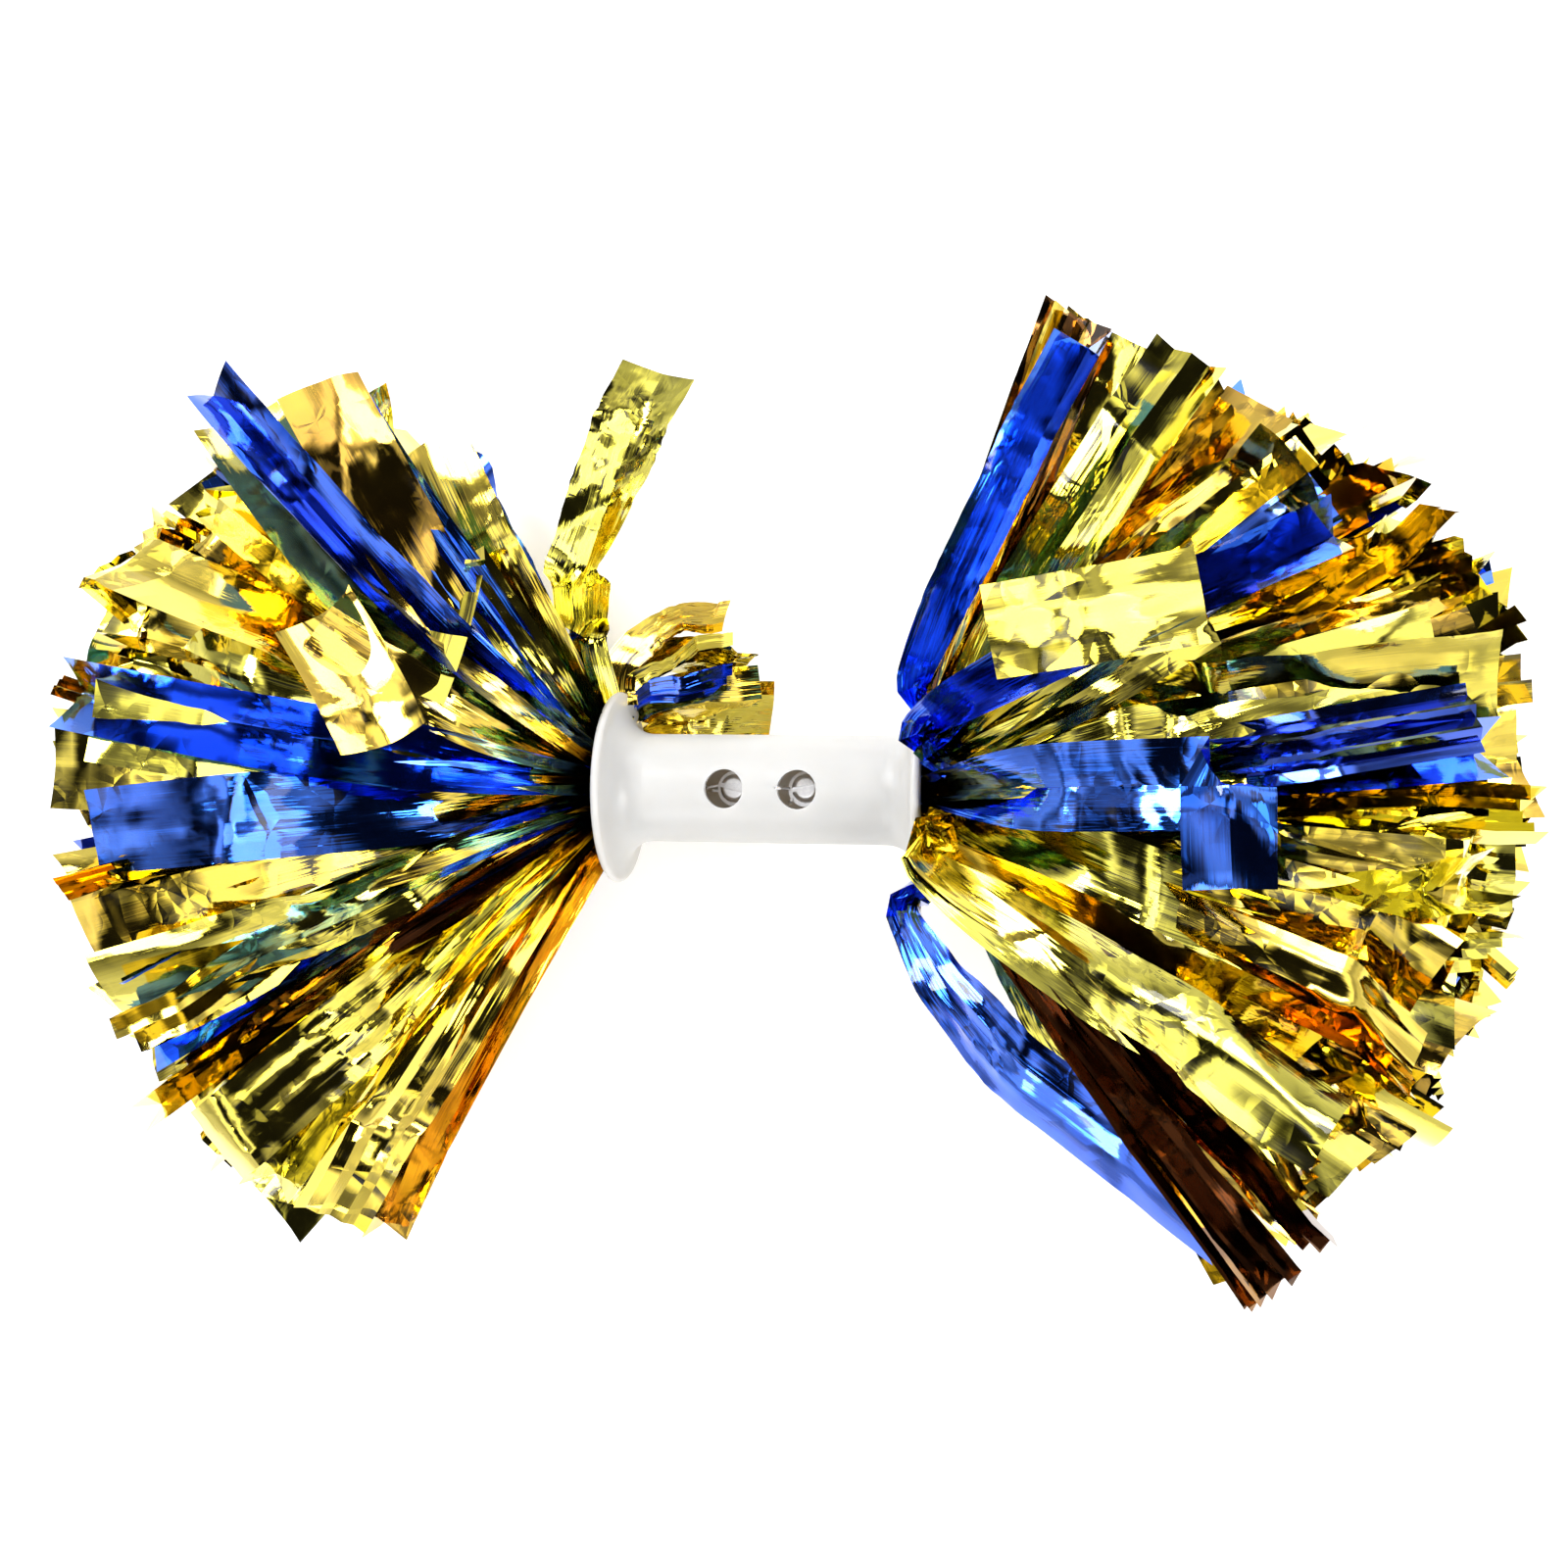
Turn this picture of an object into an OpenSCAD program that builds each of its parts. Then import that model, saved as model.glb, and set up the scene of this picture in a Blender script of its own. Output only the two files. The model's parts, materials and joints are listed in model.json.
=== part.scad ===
// Cheer pom pom: a moulded baton handle with a tassel of metallic film streamers at each end.
// X runs along the handle, +Z is up, and the origin is the centre of the handle.

/* [Handle] */
// Length of the handle between the outer faces of its flanges
handle_l = 79; // [76:1:96]
// Outer diameter of the grip tube
tube_d = 27; // [26:0.5:30]
// Wall thickness of the tube
wall_t = 1.8; // [1.5:0.1:2.2]
// Diameter of the flared flanges
flange_d = 48; // [46:1:54]
// Thickness of a flange at its rim
rim_t = 2; // [1.6:0.1:2.4]
// Radius of the sweep from the tube into the back of a flange
flare_r = 8; // [6:0.5:8]
// Radius of the rounded mouth of the bore
mouth_r = 7; // [5:0.5:7]

/* [Wire clamps] */
// Diameter of the two access holes
access_d = 9.5; // [9.4:0.1:10.5]
// Distance between the centres of the two access holes
access_pitch = 18; // [17:0.5:20]
// Diameter of the moulded screw bosses
boss_d = 7.5; // [7:0.1:8.5]
// Distance from the handle's axis down to the top of a boss
boss_drop = 3; // [2.5:0.1:4]
// Diameter of the pilot hole in a boss
pilot_d = 2.5; // [2.5:0.1:2.8]
// Depth of the pilot hole
pilot_depth = 8; // [7.5:0.1:8.2]
// Diameter of a screw's core
core_d = 2.4; // [2.2:0.1:2.4]
// Diameter over a screw's thread
thread_d = 3.1; // [2.9:0.1:3.3]
// Length of a screw below its head
shank_l = 8.4; // [8:0.1:8.6]
// Diameter of a screw's pan head
head_d = 7; // [6:0.1:7.4]
// Height of a screw's pan head
head_h = 2.4; // [2:0.1:2.6]
// Width and depth of the driver slot
slot_w = 1.1; // [0.8:0.1:1.4]
// Diameter of a washer
washer_d = 9; // [8:0.1:9.2]
// Thickness of a washer
washer_t = 0.8; // [0.6:0.1:1]
// Diameter of the tie wire
wire_d = 0.8; // [0.6:0.1:0.9]
// Lean of the left screw, pulled over by its wire
left_lean = 3; // [0:1:6]
// Lean of the right screw, pulled over by its wire
right_lean = 9; // [0:1:12]

/* [Streamers] */
// Length of a streamer beyond the mouth
streamer_l = 146; // [130:1:160]
// Angle of the inner bunches from the handle's axis
inner_angle = 28; // [26:1:29]
// Angle of the outer bunches from the handle's axis
outer_angle = 52; // [50:1:54]
// Half of the angle that a bunch fills
bunch_half = 9; // [7:0.5:9]
// Height of a tassel as a share of its breadth, because it sags under its own weight
flatten = 0.68; // [0.6:0.01:0.75]
// Height of the handle's axis above the surface that the tassels lie on
rest_drop = 70; // [64:1:72]
// Width of one streamer of film
streamer_w = 20; // [18:1:22]

/* [Hidden] */
LEFT = "left";
RIGHT = "right";
SIDES = [LEFT, RIGHT];
INNER_COUNT = 6;
OUTER_COUNT = 9;
PAIRED = ["clamp_screw", "washer", "tie_wire", "gathered_fold", "streamer_neck", "heart_streamers"];

gold = [0.86, 0.68, 0.16];
blue = [0.09, 0.22, 0.78];
steel = [0.74, 0.74, 0.76];
moulding = [0.95, 0.94, 0.91];

half_l = handle_l / 2;
tube_r = tube_d / 2;
bore_r = tube_r - wall_t;
flange_r = flange_d / 2;

// The tassels bend at a pivot just inside each mouth
pivot_x = half_l - 1.5;
neck_r = 6;
inner_root = 13;
outer_root = 16;
heart_root = 8;

clamp_x = access_pitch / 2;
washer_r = washer_d / 2;
wire_z = -boss_drop + wire_d / 2 + 0.05;
wire_gap = 0.2;
fold_eye_x = 28;
// How far each screw's driver slot is turned from the handle's axis
left_slot_turn = 14;
right_slot_turn = 10;
// Each wire's two cut ends: the turn round its screw at which it stands, and its height
left_wire_ends = [[-150, 5], [172, 7]];
right_wire_ends = [[-140, 5], [176, 17.6]];

// Streamers that bend over a flange run in two layers, these far out from the handle's centre
inner_layer_x = half_l + 0.45;
outer_layer_x = half_l + 1.3;
layer_t = 0.6;
rim_r = flange_r + 1.5;
pinched_w = 6;
full_width_at = 60;
stray_turn = 78;
back_turns = [118, 154];

// The tall bunch stands up beside the flange
tall_angle = 71;
tall_turn = 84;
tall_root = 27;
tall_reach = 128;
tall_half_t = 3;
tall_half_w = 5;

// The outer bunches are a little shorter and wider than the inner ones
outer_short = 8;
outer_extra = 3;

// Everything is drawn on the +X side, and the left side is its mirror image
module on_side(side) {
    if (side == LEFT) mirror([1, 0, 0]) children();
    else children();
}

// ---- Handle ----

// Half of the moulding's wall, cut through the handle's axis: X is the radius, Y the way out
module wall_profile() {
    rim_back = half_l - rim_t;
    difference() {
        union() {
            translate([bore_r, 0]) square([wall_t, half_l]);
            translate([bore_r, rim_back - flare_r]) square([flange_r - rim_t / 2 - bore_r, flare_r + rim_t]);
            translate([flange_r - rim_t / 2, half_l - rim_t / 2]) circle(d = rim_t, $fn = 32);
        }
        translate([tube_r + flare_r, rim_back - flare_r]) circle(r = flare_r, $fn = 96);
        translate([tube_r + flare_r, rim_back - 2 * flare_r]) square([flange_r, 2 * flare_r]);
        mouth_cut();
    }
}

// What the rounded mouth takes off the inside corner of the wall
module mouth_cut() {
    difference() {
        translate([0, half_l - mouth_r]) square([bore_r + mouth_r, mouth_r + 1]);
        translate([bore_r + mouth_r, half_l - mouth_r]) circle(r = mouth_r, $fn = 96);
    }
}

module tube_half() {
    rotate([0, 90, 0]) rotate_extrude($fn = 96) wall_profile();
}

// A boss stands on the far wall, on the axis of its access hole
module boss() {
    top = -boss_drop;
    foot = -(bore_r + wall_t / 2);
    translate([clamp_x, 0, foot]) cylinder(d = boss_d, h = top - foot, $fn = 48);
}

module handle() {
    color(moulding) difference() {
        union() {
            for (side = SIDES) on_side(side) {
                tube_half();
                boss();
            }
        }
        for (side = SIDES) on_side(side) {
            translate([clamp_x, 0, 0]) cylinder(d = access_d, h = tube_d, $fn = 64);
            translate([clamp_x, 0, -boss_drop - pilot_depth])
                cylinder(d = pilot_d, h = pilot_depth + 1, $fn = 32);
        }
    }
}

// ---- Wire clamps ----

// Places a screw or washer on top of its boss, leaning away from the pull of the wire
module on_boss(lean) {
    lift = wire_d + wire_gap + washer_r * sin(lean);
    translate([clamp_x, 0, -boss_drop + lift]) rotate([-lean, lean / 2, 0]) children();
}

module pan_head() {
    crown = head_h * 0.55;
    rotate_extrude($fn = 64) {
        square([head_d / 2 - crown, head_h]);
        square([head_d / 2, head_h - crown]);
        intersection() {
            translate([head_d / 2 - crown, head_h - crown]) circle(r = crown, $fn = 48);
            square([head_d, head_h]);
        }
    }
}

// A self-tapping thread drawn as a row of sharp rings
module threaded_shank() {
    pitch = 1.1;
    crest = (thread_d - core_d) / 2;
    rotate_extrude($fn = 48) {
        translate([0, -shank_l + 1]) square([core_d / 2, shank_l - 1]);
        polygon([[0, -shank_l], [0, -shank_l + 1], [core_d / 2, -shank_l + 1]]);
        for (z = [-shank_l + 1.6 : pitch : -3])
            translate([core_d / 2 - 0.05, z])
                polygon([[0, -pitch * 0.3], [crest + 0.05, 0], [0, pitch * 0.3]]);
    }
}

module clamp_screw(side, lean, slot_turn) {
    color(steel) on_side(side) on_boss(lean) translate([0, 0, washer_t]) {
        difference() {
            pan_head();
            rotate([0, 0, slot_turn])
                translate([-head_d, -slot_w / 2, head_h - slot_w]) cube([2 * head_d, slot_w, head_h]);
        }
        threaded_shank();
    }
}

module washer(side, lean) {
    color(steel) on_side(side) on_boss(lean) difference() {
        cylinder(d = washer_d, h = washer_t, $fn = 64);
        translate([0, 0, -1]) cylinder(d = thread_d + 0.6, h = washer_t + 2, $fn = 32);
    }
}

// ---- Tie wire: both its strands are twisted together between the screw and the fold ----

strand_r = wire_d / 2 + 0.06;
wrap_r = 2.3;
twist_from = clamp_x + washer_r + 1.6;
twist_to = 22;
twist_turns = 1.5;
twist_step = 1 / 16;
split_y = 0.7;
leg_y = 3.3;
leg_z = wire_z + 0.5;
tip_r = washer_r + 0.75;
tip_inset_r = 4.05;

function strand(turn, t) = [
    twist_from + (twist_to - twist_from) * t,
    strand_r * cos(turn + 360 * twist_turns * t),
    leg_z + strand_r * sin(turn + 360 * twist_turns * t)
];
// A point round the screw: its turn, its distance from the screw's axis and its height over the wrap
function round_screw(turn, r, rise) = [clamp_x + r * cos(turn), r * sin(turn), wire_z + rise];
// The cut end of the wire, from its tip beside the screw's head down to the wrap
function wire_tip(turn, height) = [
    round_screw(turn, tip_inset_r + (height > tube_r ? 1 : 0), height),
    round_screw(turn, tip_inset_r, height * 0.95),
    round_screw(turn, tip_inset_r, 4),
    round_screw(turn, tip_r, 1.9),
    round_screw(turn, tip_r, 0.7),
    round_screw(turn, tip_r - 0.6, 0.1)
];
function wrap(turn) = round_screw(turn, wrap_r, 0);
function turned_over(p) = [for (i = [len(p) - 1 : -1 : 0]) p[i]];
// One half of the wire, from its tip to the far side of the loop through the fold
function half_route(s, tip_turn, tip_height, start) = concat(
    wire_tip(tip_turn, tip_height),
    [for (a = [140 : -20 : 20]) wrap(s * a)],
    [[twist_from - 1.5, s * split_y, wire_z]],
    [for (t = [0 : twist_step : 1]) strand(start, t)],
    [[twist_to + 1.4, s * leg_y / 2, leg_z], [twist_to + 2.8, s * (leg_y - 0.3), leg_z]],
    [[fold_eye_x - 1.4, s * leg_y, leg_z], [fold_eye_x - 0.4, s * (leg_y - 0.3), leg_z]],
    [[fold_eye_x, s * (leg_y - 1.1), leg_z]]
);
function wire_route(ends) = concat(
    half_route(-1, ends[0][0], ends[0][1], 180),
    [[fold_eye_x, 0, leg_z]],
    turned_over(half_route(1, ends[1][0], ends[1][1], 0))
);

function unit(v) = v / norm(v);
function along(p, i) = unit(p[min(i + 1, len(p) - 1)] - p[max(i - 1, 0)]);

// A round tube swept along a route of points
module swept_tube(p, d, sides = 8) {
    rings = len(p);
    points = [
        for (i = [0 : rings - 1])
            let (t = along(p, i), n = unit(cross(t, [0.13, 0.31, 0.94])), b = cross(t, n))
            for (k = [0 : sides - 1])
                p[i] + d / 2 * (cos(360 * k / sides) * n + sin(360 * k / sides) * b)
    ];
    walls = [
        for (i = [0 : rings - 2], k = [0 : sides - 1])
            let (a = i * sides + k, b = i * sides + (k + 1) % sides)
            [a, b, b + sides, a + sides]
    ];
    ends = [
        [for (k = [sides - 1 : -1 : 0]) k],
        [for (k = [0 : sides - 1]) (rings - 1) * sides + k]
    ];
    polyhedron(points, concat(walls, ends));
}

module tie_wire(side, ends) {
    color(steel) on_side(side) swept_tube(wire_route(ends), wire_d);
}

// ---- Film ----

// The uncut middle of the film, folded over the wire and pulled into the bore
module gathered_fold(side) {
    eye_r = 2.6;
    eye_back = fold_eye_x + 2;
    color(gold) on_side(side) difference() {
        union() {
            translate([fold_eye_x, 0, 0]) rotate([90, 0, 0]) hull() {
                translate([0, 4, 0]) cylinder(r = eye_r, h = 2 * eye_r, center = true, $fn = 32);
                translate([0, -4.4, 0]) cylinder(r = eye_r, h = 2 * eye_r, center = true, $fn = 32);
                translate([3.5, 0, 0]) cylinder(r = eye_r, h = 2 * eye_r, center = true, $fn = 32);
            }
            translate([eye_back, 0, 0]) rotate([0, 90, 0])
                cylinder(r1 = 6, r2 = bore_r - 0.5, h = pivot_x - eye_back - 2, $fn = 48);
        }
        translate([fold_eye_x, 0, leg_z]) rotate([90, 0, 0])
            cylinder(d = wire_d + 0.5, h = 4 * eye_r, center = true, $fn = 16);
        translate([pivot_x, 0, 0]) sphere(r = neck_r + 0.6, $fn = 48);
    }
}

module streamer_neck(side) {
    color(gold) on_side(side) translate([pivot_x, 0, 0]) sphere(r = neck_r, $fn = 48);
}

// Keeps what is above the surface that the tassels lie on
module above_rest() {
    far = 2 * (half_l + streamer_l);
    intersection() {
        children();
        translate([-far / 2, -far / 2, -rest_drop]) cube([far, far, far]);
    }
}

// One cross-section of a bunch, out along +X from the pivot
module bunch_section(out, half_t, half_w, fullness) {
    t = 2 * out * tan(half_t) * fullness;
    w = 2 * out * tan(half_w) * fullness;
    corner = min(t, w) * 0.3;
    translate([out, 0, 0]) rotate([0, 90, 0]) linear_extrude(0.5)
        offset(r = corner, $fn = 16) square([t - 2 * corner, w - 2 * corner], center = true);
}

module bunch(root, reach, half_t, half_w) {
    hull() {
        bunch_section(root, half_t, half_w, 1);
        bunch_section(0.82 * reach, half_t, half_w, 1);
        bunch_section(reach - 0.5, half_t, half_w, 0.8);
    }
}

// Turns a bunch from the handle's axis by an angle, then round that axis from straight up towards +Y
module splayed(side, angle, turn) {
    on_side(side) above_rest() translate([pivot_x, 0, 0]) scale([1, 1, flatten])
        rotate([-turn, 0, 0]) rotate([0, -angle, 0]) children();
}

module heart_streamers(side) {
    color(gold) splayed(side, 0, 0) bunch(heart_root, streamer_l, bunch_half - 1, bunch_half - 1);
}

module inner_streamers(side, number, tint) {
    color(tint) splayed(side, inner_angle, (number - 1) * 360 / INNER_COUNT)
        bunch(inner_root, streamer_l - 2 * (number % 2), bunch_half, bunch_half);
}

module outer_streamers(side, number, tint) {
    color(tint) splayed(side, outer_angle, (number - 1) * 360 / OUTER_COUNT)
        bunch(outer_root, streamer_l - outer_short, bunch_half, bunch_half + outer_extra);
}

// The outline of a strip of film seen on edge, along a centre line
module strip_outline(p, t) {
    function side_of(i, s) =
        let (d = along(p, i)) p[i] + s * t / 2 * [-d[1], d[0]];
    last = len(p) - 1;
    polygon(concat([for (i = [0 : last]) side_of(i, 1)], [for (i = [last : -1 : 0]) side_of(i, -1)]));
}

// A single streamer that leaves the mouth, bends over the flange and runs on along a centre line of
// points (way out, radius). It is pinched in the mouth and opens to its full width.
module bent_streamer(side, turn, line) {
    far = 2 * streamer_l;
    on_side(side) rotate([-turn, 0, 0]) intersection() {
        rotate([90, 0, 0]) linear_extrude(streamer_w, center = true) strip_outline(line, layer_t);
        rotate([90, 0, 90]) linear_extrude(far)
            polygon([
                [-pinched_w / 2, 0], [pinched_w / 2, 0],
                [streamer_w / 2, full_width_at], [streamer_w / 2, far],
                [-streamer_w / 2, far], [-streamer_w / 2, full_width_at]
            ]);
    }
}

module stray_streamer() {
    line = [
        [outer_layer_x, 9], [outer_layer_x, rim_r], [outer_layer_x - 4, 44],
        [outer_layer_x - 10, 66], [outer_layer_x - 17, 86], [outer_layer_x - 24, 104]
    ];
    color(gold) bent_streamer(LEFT, stray_turn, line);
}

module turned_back_streamers() {
    line = [
        [inner_layer_x, 9], [inner_layer_x, rim_r], [inner_layer_x - 4, 38],
        [inner_layer_x - 12, 46], [inner_layer_x - 22, 45], [inner_layer_x - 31, 34]
    ];
    color(gold) for (turn = back_turns) bent_streamer(LEFT, turn, line);
}

module tall_streamers() {
    color(gold) splayed(RIGHT, tall_angle, tall_turn) bunch(tall_root, tall_reach, tall_half_t, tall_half_w);
}

handle();
clamp_screw(LEFT, left_lean, left_slot_turn);  // left_clamp_screw
clamp_screw(RIGHT, right_lean, right_slot_turn);  // right_clamp_screw
washer(LEFT, left_lean);  // left_washer
washer(RIGHT, right_lean);  // right_washer
tie_wire(LEFT, left_wire_ends);  // left_tie_wire
tie_wire(RIGHT, right_wire_ends);  // right_tie_wire
gathered_fold(LEFT);  // left_gathered_fold
gathered_fold(RIGHT);  // right_gathered_fold
streamer_neck(LEFT);  // left_streamer_neck
streamer_neck(RIGHT);  // right_streamer_neck
heart_streamers(LEFT);  // left_heart_streamers
heart_streamers(RIGHT);  // right_heart_streamers
for (i = [1 : INNER_COUNT]) {
    tint = i % 3 == 2 ? blue : gold;
    inner_streamers(LEFT, i, tint);
    inner_streamers(RIGHT, i, tint);
}
for (i = [1 : OUTER_COUNT]) {
    tint = i % 4 == 3 ? blue : gold;
    outer_streamers(LEFT, i, tint);
    outer_streamers(RIGHT, i, tint);
}
stray_streamer();  // left_stray_streamer
turned_back_streamers();  // left_turned_back_streamers
tall_streamers();  // right_tall_streamers
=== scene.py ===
"""Looks for the cheer pom pom: crinkled metallic streamers, moulded handle, steel clamps, camera and light.

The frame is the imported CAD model, in metres: +X along the handle, +Z up, origin at the handle's centre.
"""

import json
import math
from functools import partial

import bpy
import numpy as np
from mathutils import Matrix, Vector


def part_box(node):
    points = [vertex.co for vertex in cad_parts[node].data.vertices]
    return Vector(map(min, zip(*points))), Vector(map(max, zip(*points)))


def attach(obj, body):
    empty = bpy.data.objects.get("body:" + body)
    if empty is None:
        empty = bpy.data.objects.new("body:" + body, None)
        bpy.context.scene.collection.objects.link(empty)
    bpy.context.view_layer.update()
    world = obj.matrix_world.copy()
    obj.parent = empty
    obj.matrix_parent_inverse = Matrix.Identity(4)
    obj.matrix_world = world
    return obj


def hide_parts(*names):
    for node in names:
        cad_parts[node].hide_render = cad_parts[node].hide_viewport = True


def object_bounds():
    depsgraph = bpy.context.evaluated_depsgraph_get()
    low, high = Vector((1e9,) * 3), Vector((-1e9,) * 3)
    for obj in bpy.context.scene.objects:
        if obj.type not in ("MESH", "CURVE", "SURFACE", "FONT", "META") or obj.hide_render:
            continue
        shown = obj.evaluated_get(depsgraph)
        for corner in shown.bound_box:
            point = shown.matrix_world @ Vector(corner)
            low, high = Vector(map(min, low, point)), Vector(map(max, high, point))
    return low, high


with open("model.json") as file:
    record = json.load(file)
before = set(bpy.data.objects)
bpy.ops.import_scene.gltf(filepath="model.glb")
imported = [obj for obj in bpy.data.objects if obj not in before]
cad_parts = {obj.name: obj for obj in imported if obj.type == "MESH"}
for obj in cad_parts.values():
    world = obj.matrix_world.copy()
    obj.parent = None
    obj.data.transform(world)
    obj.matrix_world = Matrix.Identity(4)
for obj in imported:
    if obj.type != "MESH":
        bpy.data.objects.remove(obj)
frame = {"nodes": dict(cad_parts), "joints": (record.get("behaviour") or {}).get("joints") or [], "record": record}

MM = 0.001
SIDES = ("left", "right")
SIGN = {"left": -1.0, "right": 1.0}
CAD_BOX = [list(corner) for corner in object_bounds()]
JOINT_OF = {joint["child"]: joint for joint in frame["joints"]}
BODY_OF = {
    node: body for body, nodes in frame["record"]["behaviour"]["bodies"].items() for node in nodes
}
PIVOT = {side: np.array(JOINT_OF[side + "_neck"]["pos_m"]) for side in SIDES}

# Streamers
WIDTH = 20 * MM
LENGTH = 146 * MM
SAG = 0.68  # the tassels' height over their breadth
REACH = {"left": 0.93, "right": 0.955}  # each tassel's longest streamers, as a share of LENGTH
SIDE_TRIM = {"left": 0.02, "right": 0.07}  # the streamers at a tassel's sides are this share shorter
FAR_TRIM = {"left": 0.05, "right": 0.09}  # and those on its far side are shorter again
STEEP_TRIM = {"left": 0.26, "right": 0.05}  # and so are those that point away from the handle's axis there
REST_Z = CAD_BOX[0][2]
CEILING = CAD_BOX[1][2] + 8 * MM  # no streamer climbs above this
FILM_GAP = 0.2 * MM  # the least height of film above the surface
STEPS = 56  # the mesh of a streamer: steps along it
CELLS = 12  # and cells across it
KINK_SPAN = 0.035  # the share of a streamer's length that a kink takes to bend
SWING_SPAN = 0.08  # and that a crumpled swing to one side takes
WRAP_AT = 18 * MM  # how far along a streamer it bulges back over the flange
WRAP_REACH = 5 * MM
PLEATED_SHARE = 0.55  # the share of the streamers that stay folded along their length
CURLED_SHARE = 0.45  # the share whose tip is bent
PAINTED_SHADE_TONE = -0.2  # the tone of the brown strips in shade: painted shade, a dark brown base colour in place of the dark surroundings that these mirrors reflect
FOLDED_BACK = 180  # degrees that a streamer turns where it's folded back along itself
TIP_DROP = 12  # degrees that the tip of a placed streamer points down
LANDING = 22 * MM  # a streamer starts to flatten out this far above the surface it lies on
LEAST_TILT = 0.25  # how much of its own tilt a streamer keeps where it lies flat
RIDGE_REACH = (2.5, 9.0)  # how far the film slopes away from a crease, in mm
PATCH_HALF = 9 * MM  # half the length of a crumpled patch
PATCH_WAVES = 5
WAVE_RATE = (500, 1300)  # radians for each metre
PATCH_SHARE = 0.35  # a crumpled patch's waves as a share of a crease's height
SHEET_STEP = 0.031  # the strips' spacing in flat coordinates, so that each has a pattern of its own
SHARP_ANGLE = math.radians(30)
MOST_LEAN = math.radians(51)
LEAN_SHARE = 0.9  # how far the streamers lean as a share of their bunch's solid, which is drawn fanned out
TOP_BUNCHES = (1, 2, 9)
BUNCHES = {  # for each node: its streamers, and half the lean and half the turn that they span, in degrees
    side: {
        side + "_heart_streamers": (34, 14, 180),
        **{f"{side}_inner_streamers_{i}": (25, 12, 32) for i in range(1, 7)},
        **{f"{side}_outer_streamers_{i}": (32 if i in TOP_BUNCHES else 24, 10, 22) for i in range(1, 10)},
    }
    for side in SIDES
}
BLUE_PARTS = {"left": ((-40, -22), (6, 18), (38, 58)), "right": ((20, 45), (58, 70))}  # plan angles
BLUE_CHANCE = (0.24, 0.05)  # inside those parts, and outside them

# Gathered film: stations are (distance from the pivot, radius), in mm
FOLD_STATIONS = [(-12.5, 1.5), (-11.5, 4.5), (-9.5, 5.8), (-6, 7.2), (-3, 8.6), (-0.5, 9.6)]
NECK_STATIONS = [(-4.5, 3.4), (-2, 5.2), (0.5, 6.6), (2.5, 7.8), (4.5, 9.0)]
GATHER_PLEATS = 26
GATHER_TONE = 0.2

# Stage
FLOOR_HALF = 3.0
SOFTBOXES = {  # place, size and power
    "key": ((-0.85, 0.75, 1.25), (0.7, 0.6), 20),
    "top": ((-0.03, -0.15, 1.15), (0.5, 0.26), 0.9),
    "over": ((0.15, 0.14, 1.15), (0.45, 0.35), 1.7),
    "fill": ((1.25, -0.5, 0.95), (0.5, 0.9), 16),
    "back": ((0.3, 1.35, 0.6), (1.0, 0.35), 7),
    "front": ((-0.5, -1.3, 0.8), (0.8, 0.3), 6),
}
CAMERA_TILT = math.radians(10.5)
CAMERA_ROLL = math.radians(0.65)
CAMERA_DISTANCE = 438 * MM
CAMERA_FIELD = math.radians(48)
CAMERA_AIM = (3.45 * MM, 1.3 * MM)  # where it looks, right and up of the origin in its own picture

rng = np.random.default_rng(11)


# ---- Small maths ----

def unit(v):
    return v / max(np.linalg.norm(v), 1e-12)


def smooth(t):
    t = np.clip(t, 0.0, 1.0)
    return t * t * (3.0 - 2.0 * t)


def mix(a, b, t):
    return a + (b - a) * t


def turned(v, axis, angle):
    """v turned about a unit axis."""
    cosine, sine = math.cos(angle), math.sin(angle)
    return v * cosine + np.cross(axis, v) * sine + axis * np.dot(axis, v) * (1.0 - cosine)


# ---- One streamer of film ----

def swung(flat, angle):
    """A heading in plan, swung anticlockwise by an angle."""
    cosine, sine = math.cos(angle), math.sin(angle)
    return np.array([flat[0] * cosine - flat[1] * sine, flat[0] * sine + flat[1] * cosine])


def within_fan(side, flat, half):
    """A heading in plan, turned back to the edge of the fan if it lies outside it."""
    plan = math.atan2(flat[1], SIGN[side] * flat[0])
    if abs(plan) <= half:
        return flat
    plan = math.copysign(half, plan)
    return np.array([SIGN[side] * math.cos(plan), math.sin(plan)])


def kept_in(side, way, half):
    """A heading turned back to the edge of the fan, if it runs away from the handle beyond it."""
    level = np.linalg.norm(way[:2])
    if SIGN[side] * way[0] <= 0 or level < 0.2:
        return way
    return np.array([*(within_fan(side, way[:2] / level, half) * level), way[2]])


def heading(side, lean, turn, cap, droop):
    """The way a streamer runs: lean from the handle's axis, turn round it from up towards +Y, then droop."""
    out = unit(np.array([
        SIGN[side] * math.cos(lean),
        math.sin(lean) * math.sin(turn),
        SAG * math.sin(lean) * math.cos(turn),
    ]))
    climb = min(math.asin(out[2]), cap) - droop
    flat = unit(out[:2])
    return flat, climb


def bend(way, face, spec, t):
    """Bends a streamer's heading and face about its own width at every kink and fold passed so far."""
    sideways = np.cross(way, face)
    for at, angle, skew in spec["kinks"]:
        share = smooth((t - at) / KINK_SPAN + 0.5)
        if share > 0:
            axis = sideways * math.cos(skew) + way * math.sin(skew)
            way = turned(way, axis, angle * share)
            face = turned(face, axis, angle * share)
            sideways = np.cross(way, face)
    return way, face


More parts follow.
